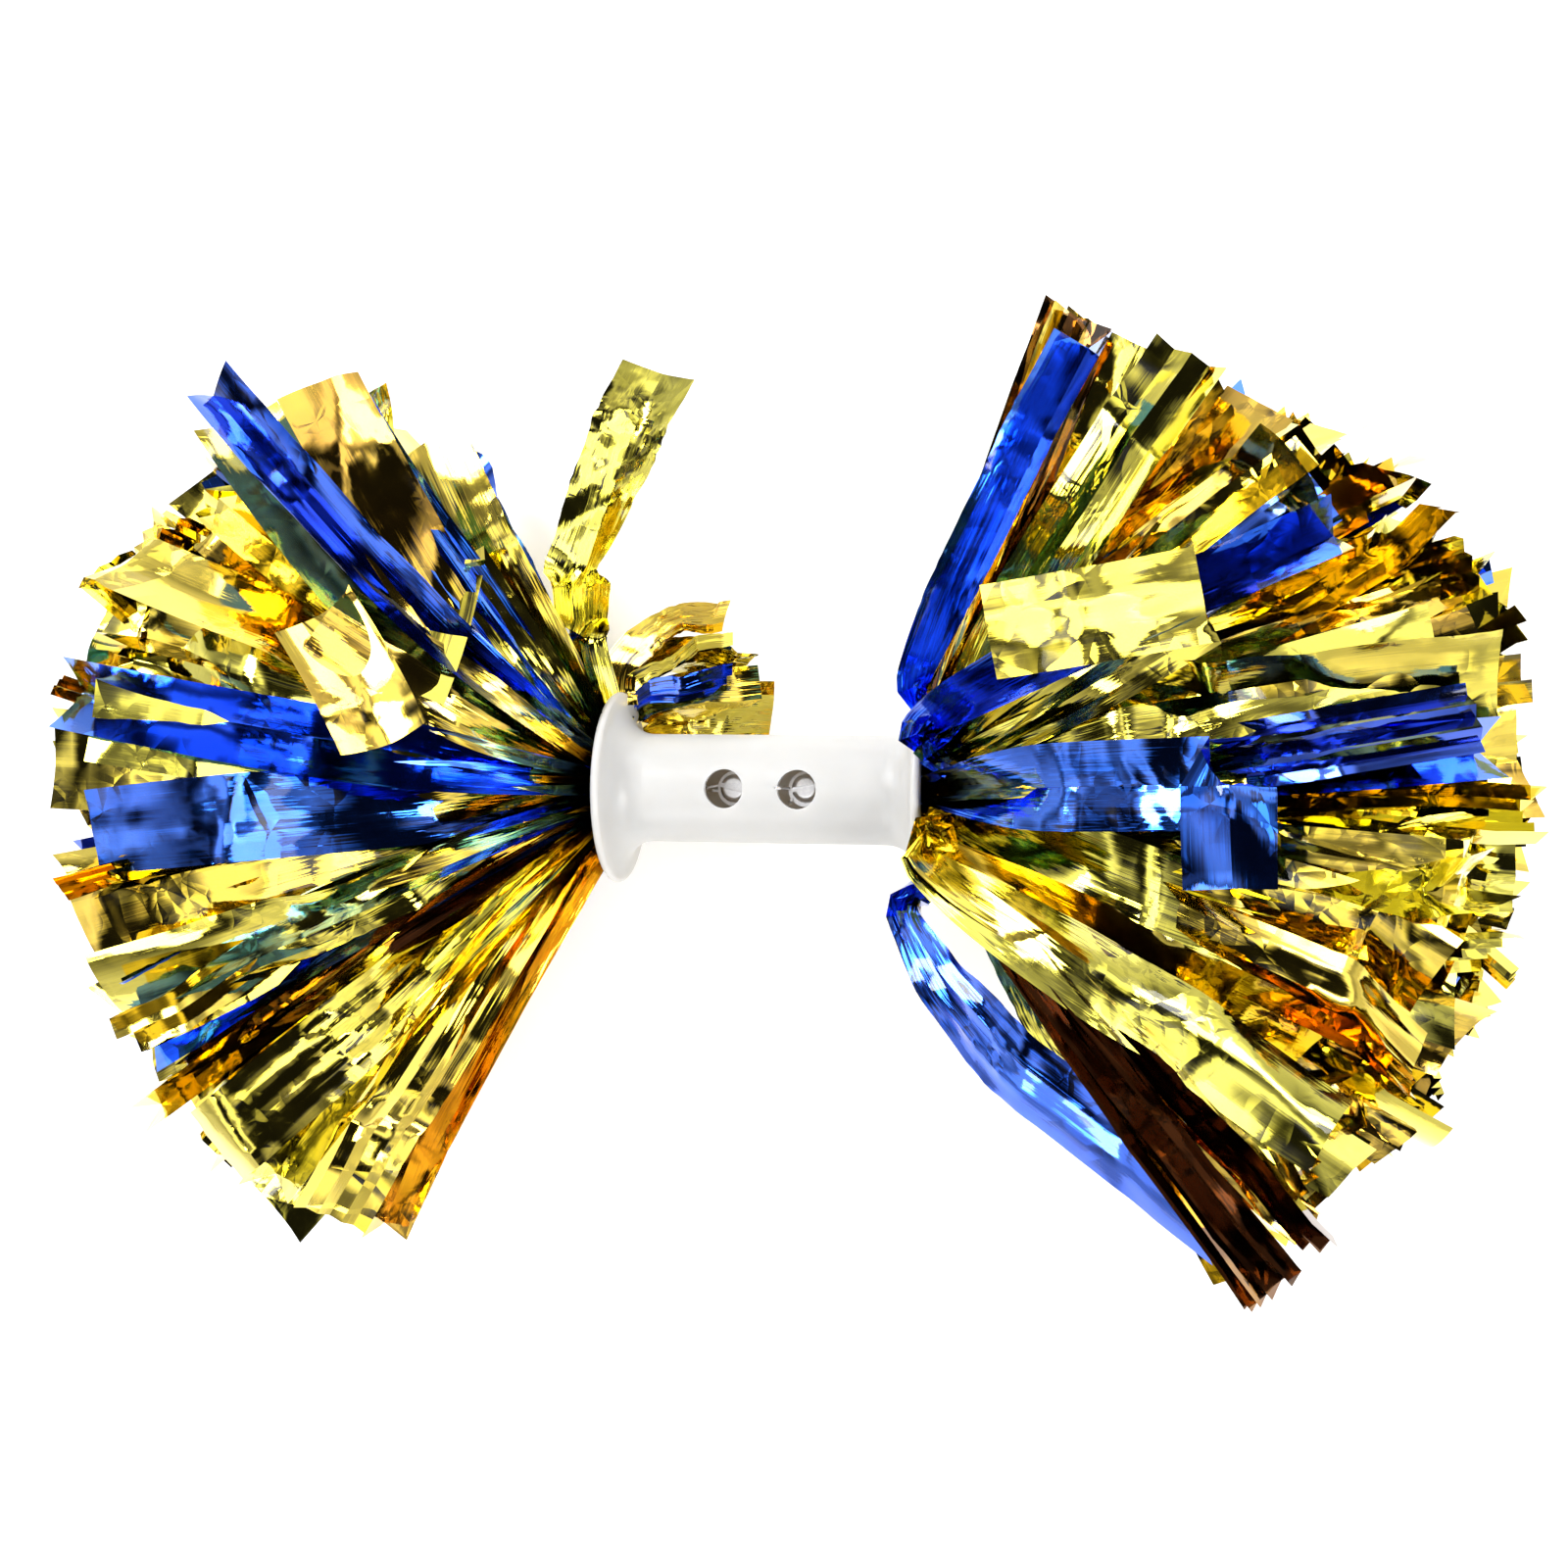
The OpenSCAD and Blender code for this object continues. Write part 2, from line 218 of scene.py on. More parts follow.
def run(side, spec):
    """Walks a streamer's centre line. Returns points, headings and face normals, one for each step."""
    step = spec["length"] / STEPS
    point = np.array(spec["start"], float)
    points, ways, faces = [], [], []
    outward = np.array([0.0, math.sin(spec["turn"]), math.cos(spec["turn"])])
    for i in range(STEPS + 1):
        t = i / STEPS
        lean = mix(spec["lean_root"], spec["lean"], smooth(t / spec["settle"]))
        lean += spec["curl"] * t * t
        lean += spec["wrap"] * math.exp(-((t * spec["length"] - WRAP_AT) / WRAP_REACH) ** 2)
        turn = spec["turn"] + spec["swerve"] * smooth(t * 1.2)
        flat, climb = heading(side, lean, turn, spec["cap"], spec["droop"] * t)
        for at, angle in spec["swings"]:
            flat = swung(flat, angle * smooth((t - at) / SWING_SPAN + 0.5))
        near = float(np.clip((point[2] - REST_Z - spec["lie"]) / LANDING, 0.0, 1.0))
        if climb < 0:
            climb *= smooth(near)
        way = np.array([*(flat * math.cos(climb)), math.sin(climb)])
        face = unit(outward - way * np.dot(outward, way))
        flat_face = np.array([0.0, 0.0, 1.0 if outward[2] >= 0 else -1.0])
        face = unit(mix(flat_face, face, LEAST_TILT + (1.0 - LEAST_TILT) * smooth(near)))
        face = unit(face - way * np.dot(face, way))
        face = turned(face, way, spec["roll"] * smooth(t * 1.6) * mix(LEAST_TILT, 1.0, near))
        way, face = bend(way, face, spec, t)
        way = kept_in(side, way, spec["fan"])
        room = near if way[2] < 0 else float(np.clip((CEILING - point[2]) / LANDING, 0.0, 1.0))
        if room < 1:
            way = unit(way * np.array([1.0, 1.0, smooth(room)]))
        face = unit(face - way * np.dot(face, way))
        points.append(point.copy())
        ways.append(way)
        faces.append(face)
        point = point + way * step
        point[2] = max(point[2], REST_Z + spec["lie"] * 0.5)
    return np.array(points), np.array(ways), np.array(faces)


def slanted(along, across, slope):
    """Distance across a set of lines that are drawn at a slope over the flat film."""
    return along * math.cos(slope) + across * math.sin(slope)


def add_ridges(height, spec, along, across):
    """Sharp random creases right across the film."""
    for _ in range(spec["creases"]):
        middle = rng.uniform(0.08, 1.0) * spec["length"]
        slope = rng.uniform(-1.2, 1.2)
        slope_length = rng.uniform(*RIDGE_REACH) * MM
        size = rng.normal(0.0, 1.0) * spec["crumple"]
        height += size * np.exp(-np.abs(slanted(along - middle, across, slope)) / slope_length)


def add_patches(height, spec, along, across):
    """Patches of film that are crumpled all over."""
    for _ in range(spec["patches"]):
        middle = rng.uniform(0.2, 0.95) * spec["length"]
        patch = np.exp(-(((along - middle) / PATCH_HALF) ** 2))
        for _ in range(PATCH_WAVES):
            wave = rng.uniform(*WAVE_RATE)
            slope = rng.uniform(-1.4, 1.4)
            phase = rng.uniform(0, 6.28)
            waves = np.abs(np.sin(slanted(along, across, slope) * wave + phase))
            height += patch * waves * spec["crumple"] * PATCH_SHARE


def creases(spec, along, across):
    """Height of the crumpled film above its smooth shape, for every point of the strip."""
    height = np.zeros(np.broadcast(along, across).shape)
    add_ridges(height, spec, along, across)
    add_patches(height, spec, along, across)
    return height


def strip(side, spec):
    """The grid of points of one streamer: pleated where it's gathered, and opening to its full width."""
    points, ways, faces = run(side, spec)
    sides = np.cross(ways, faces)
    t = np.linspace(0.0, 1.0, STEPS + 1)[:, None]
    u = np.linspace(-0.5, 0.5, CELLS + 1)[None, :]
    along = t * spec["length"]
    across_flat = u * spec["width"]
    fold = mix(spec["pinch"], spec["open"], smooth(t / spec["open_at"]))
    pleats = spec["pleats"]
    zigzag = np.abs(((u + 0.5) * pleats * 2.0) % 2.0 - 1.0) / (pleats * 2.0)
    across = across_flat * np.cos(fold)
    lift = spec["width"] * np.sin(fold) * (zigzag - 0.25 / pleats)
    lift += spec["bow"] * (1.0 - 4.0 * u * u) * smooth(t * 1.5)
    lift += creases(spec, along, across_flat) * smooth((t - 0.12) * 2.2)
    ragged = spec["slant"] * across_flat * smooth((t - 0.8) / 0.2)
    grid = points[:, None, :] + sides[:, None, :] * across[..., None]
    grid += faces[:, None, :] * lift[..., None] + ways[:, None, :] * ragged[..., None]
    grid[..., 2] = np.maximum(grid[..., 2], REST_Z + FILM_GAP)
    return grid


def note(mesh, name, values):
    """Stores a number for each point of a mesh, for its material to read."""
    mesh.attributes.new(name, "FLOAT", "POINT").data.foreach_set("value", values)


def lay_flat(mesh, flat_points):
    """Gives a mesh of film its flat coordinates, in metres, from those of its points."""
    corners = np.empty(len(mesh.loops), np.int32)
    mesh.loops.foreach_get("vertex_index", corners)
    mesh.uv_layers.new(name="film").data.foreach_set("uv", flat_points[corners].ravel())


def grid_quads(rows, columns):
    """The faces of a grid of points."""
    index = np.arange(rows * columns).reshape(rows, columns)
    return np.stack([index[:-1, :-1], index[:-1, 1:], index[1:, 1:], index[1:, :-1]], -1).reshape(-1, 4)


def placed(name, data):
    """A new object in the scene."""
    thing = bpy.data.objects.new(name, data)
    bpy.context.scene.collection.objects.link(thing)
    return thing


def film_object(name, side, specs, material):
    """One object of several streamers, with flat coordinates in metres and a tone for each streamer."""
    rows, columns = STEPS + 1, CELLS + 1
    quads = grid_quads(rows, columns)
    points = np.concatenate([strip(side, spec).reshape(-1, 3) for spec in specs])
    faces = np.concatenate([quads + k * rows * columns for k in range(len(specs))])
    mesh = bpy.data.meshes.new(name)
    mesh.from_pydata(points.tolist(), [], faces.tolist())
    t, u = np.meshgrid(np.linspace(0, 1, rows), np.linspace(0, 1, columns), indexing="ij")
    note(mesh, "tone", np.repeat([s["tone"] for s in specs], rows * columns))
    note(mesh, "out", np.concatenate([t.ravel() * s["length"] / LENGTH for s in specs]))
    lay_flat(mesh, np.concatenate([
        np.stack([u * s["width"] + k * SHEET_STEP, t * s["length"] + s["tone"]], -1).reshape(-1, 2)
        for k, s in enumerate(specs)
    ]))
    mesh.polygons.foreach_set("use_smooth", np.ones(len(mesh.polygons), bool))
    mesh.materials.append(material)
    mesh.update()
    mesh.set_sharp_from_angle(angle=SHARP_ANGLE)
    return placed(name, mesh)


def film_piece(name, side, specs, colour, node):
    """A piece of several streamers that stands for a CAD node, or for part of it, and rides on its body."""
    piece = film_object(name, side, specs, FOILS[colour])
    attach(piece, BODY_OF[node])
    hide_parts(node)


# ---- Materials ----

def new_material(name):
    material = bpy.data.materials.new(name)
    material.use_nodes = True
    tree = material.node_tree
    return material, tree, tree.nodes["Principled BSDF"]


def add(tree, kind, **settings):
    node = tree.nodes.new(kind)
    for key, value in settings.items():
        if key in node.inputs:
            node.inputs[key].default_value = value
        else:
            setattr(node, key, value)
    return node


def ramp(tree, factor, stops):
    node = add(tree, "ShaderNodeValToRGB")
    while len(node.color_ramp.elements) < len(stops):
        node.color_ramp.elements.new(0.5)
    for element, (place, colour) in zip(node.color_ramp.elements, stops):
        element.position = place
        element.color = (*colour, 1.0)
    tree.links.new(factor, node.inputs["Fac"])
    return node


def scaled(tree, vector, stretch):
    """The flat coordinates, stretched across and along the film."""
    node = add(tree, "ShaderNodeMapping")
    node.inputs["Scale"].default_value = (*stretch, 1.0)
    tree.links.new(vector, node.inputs["Vector"])
    return node.outputs["Vector"]


def remapped(tree, value, source, target):
    node = add(tree, "ShaderNodeMapRange")
    node.inputs["From Min"].default_value, node.inputs["From Max"].default_value = source
    node.inputs["To Min"].default_value, node.inputs["To Max"].default_value = target
    tree.links.new(value, node.inputs["Value"])
    return node.outputs["Result"]


def times(tree, first, second):
    node = add(tree, "ShaderNodeMath", operation="MULTIPLY")
    tree.links.new(first, node.inputs[0])
    tree.links.new(second, node.inputs[1])
    return node.outputs["Value"]


def summed(tree, parts):
    """The sum of several values, each times its own weight."""
    total = None
    for value, weight in parts:
        node = add(tree, "ShaderNodeMath", operation="MULTIPLY_ADD")
        tree.links.new(value, node.inputs[0])
        node.inputs[1].default_value = weight
        node.inputs[2].default_value = 0.0
        if total is not None:
            tree.links.new(total, node.inputs[2])
        total = node.outputs["Value"]
    return total


def noise(tree, vector, scale, detail=3.0, distortion=0.0, roughness=0.55):
    node = add(
        tree, "ShaderNodeTexNoise", Scale=scale, Detail=detail, Roughness=roughness, Distortion=distortion
    )
    tree.links.new(vector, node.inputs["Vector"])
    return node.outputs["Fac"]


def facets(tree, vector, scale):
    """Flat facets between sharp ridges, as in crumpled foil."""
    node = add(tree, "ShaderNodeTexVoronoi", Scale=scale, Randomness=1.0, feature="DISTANCE_TO_EDGE")
    tree.links.new(vector, node.inputs["Vector"])
    return node.outputs["Distance"]


def bumped(tree, height, distance, strength=1.0):
    node = add(tree, "ShaderNodeBump", Strength=strength, Distance=distance)
    tree.links.new(height, node.inputs["Height"])
    return node.outputs["Normal"]


def tinted(tree, flat, stops):
    """Each streamer's own tone, clouded a little, as a colour; the strips at the shade tone get painted shade, a
    dark brown.
    """
    shift = add(tree, "ShaderNodeMath", operation="MULTIPLY_ADD")
    tree.links.new(noise(tree, flat, 42.0), shift.inputs[0])
    shift.inputs[1].default_value = 0.35
    tree.links.new(add(tree, "ShaderNodeAttribute", attribute_name="tone").outputs["Fac"], shift.inputs[2])
    return ramp(tree, shift.outputs["Value"], stops).outputs["Color"]


def warped(tree, flat):
    """The flat coordinates, bent a little, so that the facets' edges aren't straight."""
    warp = add(tree, "ShaderNodeTexNoise", Scale=60.0, Detail=2.0)
    tree.links.new(flat, warp.inputs["Vector"])
    node = add(tree, "ShaderNodeVectorMath", operation="MULTIPLY_ADD")
    tree.links.new(warp.outputs["Color"], node.inputs[0])
    node.inputs[1].default_value = (0.008, 0.008, 0.0)
    tree.links.new(flat, node.inputs[2])
    return node.outputs["Vector"]


def crumpled_normal(tree, flat):
    """Facets towards the tip, coarse and fine, and lines along the film where it's gathered."""
    out = add(tree, "ShaderNodeAttribute", attribute_name="out").outputs["Fac"]
    opened = remapped(tree, out, (0.25, 0.6), (0.12, 1.0))
    gathered = remapped(tree, out, (0.15, 0.65), (1.0, 0.12))
    bent = warped(tree, flat)
    zones = times(tree, opened, remapped(tree, noise(tree, flat, 28.0, 2.0), (0.5, 0.64), (0.03, 1.0)))
    fine_zones = times(tree, opened, remapped(tree, noise(tree, flat, 46.0, 2.0), (0.52, 0.66), (0.03, 1.0)))
    coarse = times(tree, facets(tree, bent, 60.0), zones)
    fine = times(tree, facets(tree, bent, 180.0), fine_zones)
    lines = times(tree, gathered, noise(tree, scaled(tree, flat, (380.0, 14.0)), 1.0, 3.0, 0.4))
    height = summed(tree, ((coarse, 1.7 * MM), (fine, 0.35 * MM), (lines, 0.5 * MM)))
    return bumped(tree, height, 1.0)


def foil(name, stops, roughness):
    """Metallised film: a mirror under a tinted lacquer, flat in places and crumpled into facets in others."""
    material, tree, shader = new_material(name)
    link = tree.links.new
    shader.inputs["Metallic"].default_value = 1.0
    shader.inputs["Coat Weight"].default_value = 1.0
    shader.inputs["Coat Roughness"].default_value = 0.06
    flat = add(tree, "ShaderNodeUVMap", uv_map="film").outputs["UV"]
    link(tinted(tree, flat, stops), shader.inputs["Base Color"])
    link(remapped(tree, noise(tree, flat, 160.0, 4.0), (0.3, 0.7), roughness), shader.inputs["Roughness"])
    link(crumpled_normal(tree, flat), shader.inputs["Normal"])
    return material


def moulded_plastic():
    """Slightly translucent white moulding with a faint orange peel and handling marks."""
    material, tree, shader = new_material("white_moulding")
    link = tree.links.new
    place = add(tree, "ShaderNodeTexCoord").outputs["Object"]
    cloud = noise(tree, place, 35.0, 4.0)
    peel = noise(tree, place, 900.0, 3.0, roughness=0.5)
    tint = ramp(tree, cloud, [(0.3, (0.53, 0.525, 0.51)), (0.7, (0.58, 0.575, 0.56))])
    link(tint.outputs["Color"], shader.inputs["Base Color"])
    link(remapped(tree, cloud, (0.0, 1.0), (0.3, 0.45)), shader.inputs["Roughness"])
    shader.inputs["Subsurface Weight"].default_value = 0.9
    shader.inputs["Subsurface Radius"].default_value = (1.0, 0.9, 0.8)
    shader.inputs["Subsurface Scale"].default_value = 4.0 * MM
    link(bumped(tree, peel, 0.1 * MM, 0.12), shader.inputs["Normal"])
    return material


def bright_steel():
    """Zinc-plated steel with fine drawing marks."""
    material, tree, shader = new_material("bright_steel")
    link = tree.links.new
    shader.inputs["Metallic"].default_value = 1.0
    grain = noise(tree, add(tree, "ShaderNodeTexCoord").outputs["Object"], 1400.0, 4.0, roughness=0.6)
    tint = ramp(tree, grain, [(0.3, (0.74, 0.74, 0.76)), (0.7, (0.9, 0.9, 0.9))])
    link(tint.outputs["Color"], shader.inputs["Base Color"])
    link(remapped(tree, grain, (0.0, 1.0), (0.3, 0.5)), shader.inputs["Roughness"])
    link(bumped(tree, grain, 0.05 * MM, 0.2), shader.inputs["Normal"])
    return material


GOLD_STOPS = [
    # the first stop, dark brown, is reached only by strips at the shade tone: painted shade
    (0.0, (0.16, 0.07, 0.02)),
    (0.12, (0.78, 0.40, 0.045)),
    (0.28, (0.82, 0.60, 0.06)),
    (0.55, (0.82, 0.72, 0.08)),
    (0.85, (0.80, 0.76, 0.14)),
]
BLUE_STOPS = [(0.1, (0.012, 0.03, 0.32)), (0.32, (0.025, 0.12, 0.70)), (0.75, (0.04, 0.24, 0.92))]
FOILS = {
    "gold": foil("gold_foil", GOLD_STOPS, (0.04, 0.11)),
    "blue": foil("blue_foil", BLUE_STOPS, (0.05, 0.12)),
}


def finish_cad_parts():
    plastic, steel = moulded_plastic(), bright_steel()
    for name, node in frame["nodes"].items():
        hardware = any(word in name for word in ("screw", "washer", "wire"))
        if name == "handle" or hardware:
            node.data.materials.clear()
            node.data.materials.append(steel if hardware else plastic)


# ---- Tassels ----

def spread_of(side, node):
    """A bunch's lean from the handle's axis and its turn round it, from its CAD box."""
    low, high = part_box(node)
    middle = (np.array(low) + np.array(high)) / 2.0 - PIVOT[side]
    y, z = middle[1], middle[2] / SAG
    return math.atan2(math.hypot(y, z), abs(middle[0])), math.atan2(y, z)


def root_point(side, lean, turn, near):
    """Where a streamer leaves the gathered film in the mouth."""
    radius = (2.0 + 8.5 * lean / math.radians(64)) * MM * near
    return PIVOT[side] + np.array([
        SIGN[side] * 2.5 * MM, radius * math.sin(turn), radius * math.cos(turn)
    ])


def random_kinks(count, spread):
    """Sharp bends across a streamer that cancel out: (share of its length, angle, skew of the crease)."""
    angles = rng.normal(0, spread, count)
    return [
        (rng.uniform(0.15, 0.97), math.radians(angle), math.radians(rng.normal(0, 14)))
        for angle in angles - angles.mean()
    ]


def tip_curl():
    """A sharp bend near the tip, as (share of the length, angle, skew of the crease)."""
    angle = rng.choice((-1.0, 1.0)) * math.radians(rng.uniform(35, 80))
    return rng.uniform(0.84, 0.95), angle, math.radians(rng.normal(0, 20))


def reach(side, lean, turn):
    """How long the streamers of a tassel are in a direction."""
    plan = math.atan2(math.sin(lean) * math.sin(turn), math.cos(lean))
    sideways = float(smooth((abs(plan) - math.radians(20)) / math.radians(25)))
    trim = sideways * (SIDE_TRIM[side] + (FAR_TRIM[side] if plan > 0 else 0.0))
    trim += STEEP_TRIM[side] * float(smooth((plan - math.radians(40)) / math.radians(16)))
    return LENGTH * REACH[side] * (1.0 - trim)


def streamer(side, lean, turn, **changes):
    """A streamer's description, with the natural variation that every streamer has."""
    upward = max(math.cos(turn), 0.0) * min(lean / math.radians(50), 1.0)
    pleated = rng.random() < PLEATED_SHARE
    spec = {
        "colour": "gold",
        "start": root_point(side, lean, turn, rng.uniform(0.6, 1.1)),
        "lean": lean,
        "lean_root": min(lean + math.radians(rng.uniform(2, 9)), math.radians(78)),
        "settle": rng.uniform(0.25, 0.45),  # the share of its length by which it has turned to its lean
        "turn": turn,
        "swerve": math.radians(rng.normal(0, 6)),
        "curl": math.radians(rng.normal(0, 4)),
        "droop": math.radians(rng.uniform(10, 22) + 28 * upward),
        "cap": math.radians(40),  # its steepest climb
        "wrap": 0.0,  # how far it bulges back over the flange, as an angle
        "swings": [],  # crumpled turns to one side: (share of its length, angle)
        "fan": math.radians(rng.uniform(55, 63)),  # the fan's edge, as an angle in plan
        "roll": math.radians(rng.normal(0, 24)),
        "kinks": random_kinks(6, 12),
        "lie": rng.uniform(0.6, 7.0) * MM,  # how far above the surface it comes to rest
        "length": reach(side, lean, turn) * rng.uniform(0.9, 1.0),
        "width": WIDTH,
        "pleats": int(rng.integers(1, 4)),
        "pinch": rng.uniform(1.2, 1.34),  # the slope of its pleats at the root, and when it's open
        "open": rng.uniform(0.7, 1.3) if pleated else rng.uniform(0.0, 0.15),
        "open_at": rng.uniform(0.45, 0.95),
        "bow": rng.normal(0, 1.4) * MM,  # how far its middle stands above its edges
        "creases": 10,
        "patches": int(rng.integers(0, 2)) if pleated else int(rng.integers(1, 4)),
        "crumple": 0.7 * MM,
        "slant": rng.uniform(-0.25, 0.25),  # of the cut at its end
        "tone": rng.uniform(0.0, 0.45),
    }
    spec.update(changes)
    return spec


def aimed(side, plan, climb, **changes):
    """A streamer aimed by its angle in plan from the handle's axis towards +Y, and its climb, in degrees."""
    droop = climb + TIP_DROP
    plan, climb = math.radians(plan), math.radians(climb)
    x, y = math.cos(plan) * math.cos(climb), math.sin(plan) * math.cos(climb)
    z = math.sin(climb) / SAG
    lean = math.atan2(math.hypot(y, z), x)
    settings = {
        "droop": droop, "roll": rng.normal(0, 8), "swerve": 0, "curl": 0, "cap": 80, "fan": 180,
        "open": 0.05, "open_at": 0.5, "lean_root": math.degrees(lean), "kinks": random_kinks(4, 5),
    }
    settings.update(changes)
    for key in ("droop", "roll", "swerve", "curl", "wrap", "lean_root", "cap", "fan"):
        if key in settings:
            settings[key] = math.radians(settings[key])
    settings["swings"] = [(at, math.radians(by)) for at, by in settings.pop("swings", [])]
    folds = settings.pop("folds", [])
    if folds:
        settings["kinks"] = [(at, math.radians(by), math.radians(skew)) for at, by, skew in folds]
    if "length" in settings:
        settings["length"] *= MM
    return streamer(side, lean, math.atan2(y, z), **settings)


def blue_chance(side, lean, turn):
    """How likely a streamer is to be blue: the blue sheets lie together in a few parts of each fan."""
    plan = math.degrees(math.atan2(math.sin(lean) * math.sin(turn), math.cos(lean)))
    return BLUE_CHANCE[0 if any(low < plan < high for low, high in BLUE_PARTS[side]) else 1]


def bunch_streamers(side, node, count, lean_half, turn_half):
    lean, turn = spread_of(side, node)
    specs = []
    for k in range(count):
        share = (k + 0.5) / count * 2.0 - 1.0
        own_lean = LEAN_SHARE * lean + math.radians(rng.uniform(-lean_half, lean_half))
        own_turn = turn + math.radians(share * turn_half + rng.normal(0, 3))
        own_lean = float(np.clip(own_lean, 0.02, MOST_LEAN))
        colour = "blue" if rng.random() < blue_chance(side, own_lean, own_turn) else "gold"
        spec = streamer(side, own_lean, own_turn, colour=colour)
        if rng.random() < CURLED_SHARE:
            spec["kinks"].append(tip_curl())
        specs.append(spec)
    return specs


def nearest_bunch(side, spec):
    """The bunch whose direction is closest to a streamer's."""
    def aim(lean, turn):
        return np.array([math.cos(lean), math.sin(lean) * math.sin(turn), math.sin(lean) * math.cos(turn)])
    own = aim(spec["lean"], spec["turn"])
    return max(BUNCHES[side], key=lambda node: np.dot(own, aim(*spread_of(side, node))))


def build_bunch(side, node, specs):
    """The streamers of one bunch, gold and blue, standing for its CAD solid."""
    for colour in FOILS:
        own = [s for s in specs if s["colour"] == colour]
        if own:
            film_piece(f"{node}_{colour}", side, own, colour, node)


def left_top_streamers():
    """The streamers that lie on top of the left tassel and catch the eye, with their folds."""
    lay = partial(aimed, "left")
    return [
        lay(-6, 56, colour="blue", roll=4, length=130, folds=[(0.3, 8, 0), (0.7, -14, 4)]),
        lay(10, 58, colour="blue", roll=-8, length=134, open=0.6, pleats=1),
        lay(18, 50, roll=5, length=132, folds=[(0.66, -30, 30)]),
        lay(2, 50, roll=-6, length=134, folds=[(0.6, 8, -10)]),
        lay(31, 49, roll=8, length=130, swings=[(0.25, -20)]),
        lay(33, 55, roll=12, length=118, bow=3 * MM, folds=[(0.68, FOLDED_BACK, -12)]),
        lay(46, 50, colour="blue", roll=10, length=132, open=0.9, pleats=1),
        lay(55, 42, colour="blue", length=112, open=0.6),
        lay(37, 48, roll=-4, length=116, open=0.8),
        lay(50, 46, roll=14, length=118, swings=[(0.4, -8)]),
        lay(63, 38, roll=-10, length=92),
        lay(57, 46, roll=5, length=98, folds=[(0.66, FOLDED_BACK, -22)]),
        lay(-16, 50, roll=6, length=132),
        lay(-26, 54, colour="blue", open=1.1, pleats=1),
        # painted shade: this strip gets the dark shade tone
        lay(-22, 50, roll=-5, open=0.9, tone=PAINTED_SHADE_TONE),
        lay(-31, 44, colour="blue", open=1.1, pleats=1),
        # painted shade: this strip gets the dark shade tone
        lay(-36, 44, open=1.1, pleats=2, tone=PAINTED_SHADE_TONE),
        lay(-44, 42, roll=16),
        lay(-51, 36, open=0.9),
        lay(-57, 30, roll=-14, open=0.3, length=124),
        lay(-63, 22, open=1.0, length=117),
    ]


def right_top_streamers():
    """The same for the right tassel."""
    lay = partial(aimed, "right")
    return [
        lay(5, 50, colour="blue", roll=8, open=0.9, pleats=1, length=136,
            folds=[(0.45, 8, 0), (0.85, -24, 10)]),
        lay(2, 61, colour="blue", roll=0, length=108, droop=60, open=0.3, folds=[(0.79, 165, 45)]),
        lay(32, 57, roll=14, length=137, open_at=0.7, folds=[(0.66, FOLDED_BACK, -11)]),
        lay(15, 58, roll=-4, length=128, folds=[(0.48, -34, 0), (0.56, 38, 0)]),
        lay(9, 46, roll=6, length=122),
        lay(25, 46, colour="blue", length=130, lean_root=76, wrap=45, open=0.9, pleats=1),
        lay(36, 46, colour="blue", length=115, roll=-12),
        lay(43, 42, colour="blue", length=103, open=0.7),
        lay(57, 30, length=112, open=0.6, tone=0.1),
        lay(49, 38, roll=-10, length=118),
        lay(57, 36, roll=10, length=114, open=0.5),
        lay(-10, 42, roll=5, length=132, open=0.5),
        lay(-21, 50, roll=-5, length=134, folds=[(0.5, -28, 20), (0.62, 30, -10)]),
        lay(-31, 45, roll=6, length=133, lean_root=72, wrap=50, open_at=0.7, folds=[(0.7, 8, 10)]),
        lay(-26, 47, roll=12, length=123, lean_root=72, wrap=45, open_at=0.7),
        lay(-68, 30, colour="blue", length=119, lean_root=80, wrap=60, droop=30, roll=-14, slant=1.2,
              open_at=0.7, bow=2 * MM, folds=[], swings=[(0.22, 12), (0.38, 12), (0.6, 8)]),
        # painted shade: these three strips get the dark shade tone
        lay(-46, 48, length=138, open=1.2, pleats=2, tone=PAINTED_SHADE_TONE),
        lay(-50, 46, length=138, open=1.1, pleats=2, tone=PAINTED_SHADE_TONE),
        lay(-55, 44, length=138, open=1.25, pleats=3, tone=PAINTED_SHADE_TONE),
        lay(64, 38, colour="blue", lean_root=78, wrap=40, open=0.9, pleats=1, length=113),
    ]


TOP_STREAMERS = {"left": left_top_streamers, "right": right_top_streamers}


def build_tassels():
    for side in SIDES:
        bunches = {
            node: bunch_streamers(side, node, *layout) for node, layout in BUNCHES[side].items()
        }
        for spec in TOP_STREAMERS[side]():
            bunches[nearest_bunch(side, spec)].append(spec)
        for node, specs in bunches.items():
            build_bunch(side, node, specs)


def stray_streamer():
    """The strip that climbs away from the left fan and swings back over the handle."""
    deg = math.radians
    return streamer(
        "left", deg(75), deg(77), lean_root=deg(75), swerve=0.0, curl=0.0, droop=deg(12), roll=deg(50),
        fan=math.pi, length=99 * MM, open=0.25, open_at=0.8, pleats=1, patches=3, crumple=1.1 * MM, slant=0.1,
        kinks=random_kinks(3, 5), swings=[(0.3, deg(-15)), (0.46, deg(-24))],
    )


def turned_back_streamers():
    """Short strips that bend over the left flange's rim, in order round it."""
    deg = math.radians
    return [
        streamer(
            "left", deg(rng.uniform(128, 150)), deg(turn), lean_root=deg(86), settle=0.45, swerve=0.0,
            fan=math.pi, curl=deg(35), droop=deg(30), length=rng.uniform(36, 46) * MM, open_at=0.9,
        )
        for turn in (98, 106, 114, 122, 132, 143, 154)
    ]


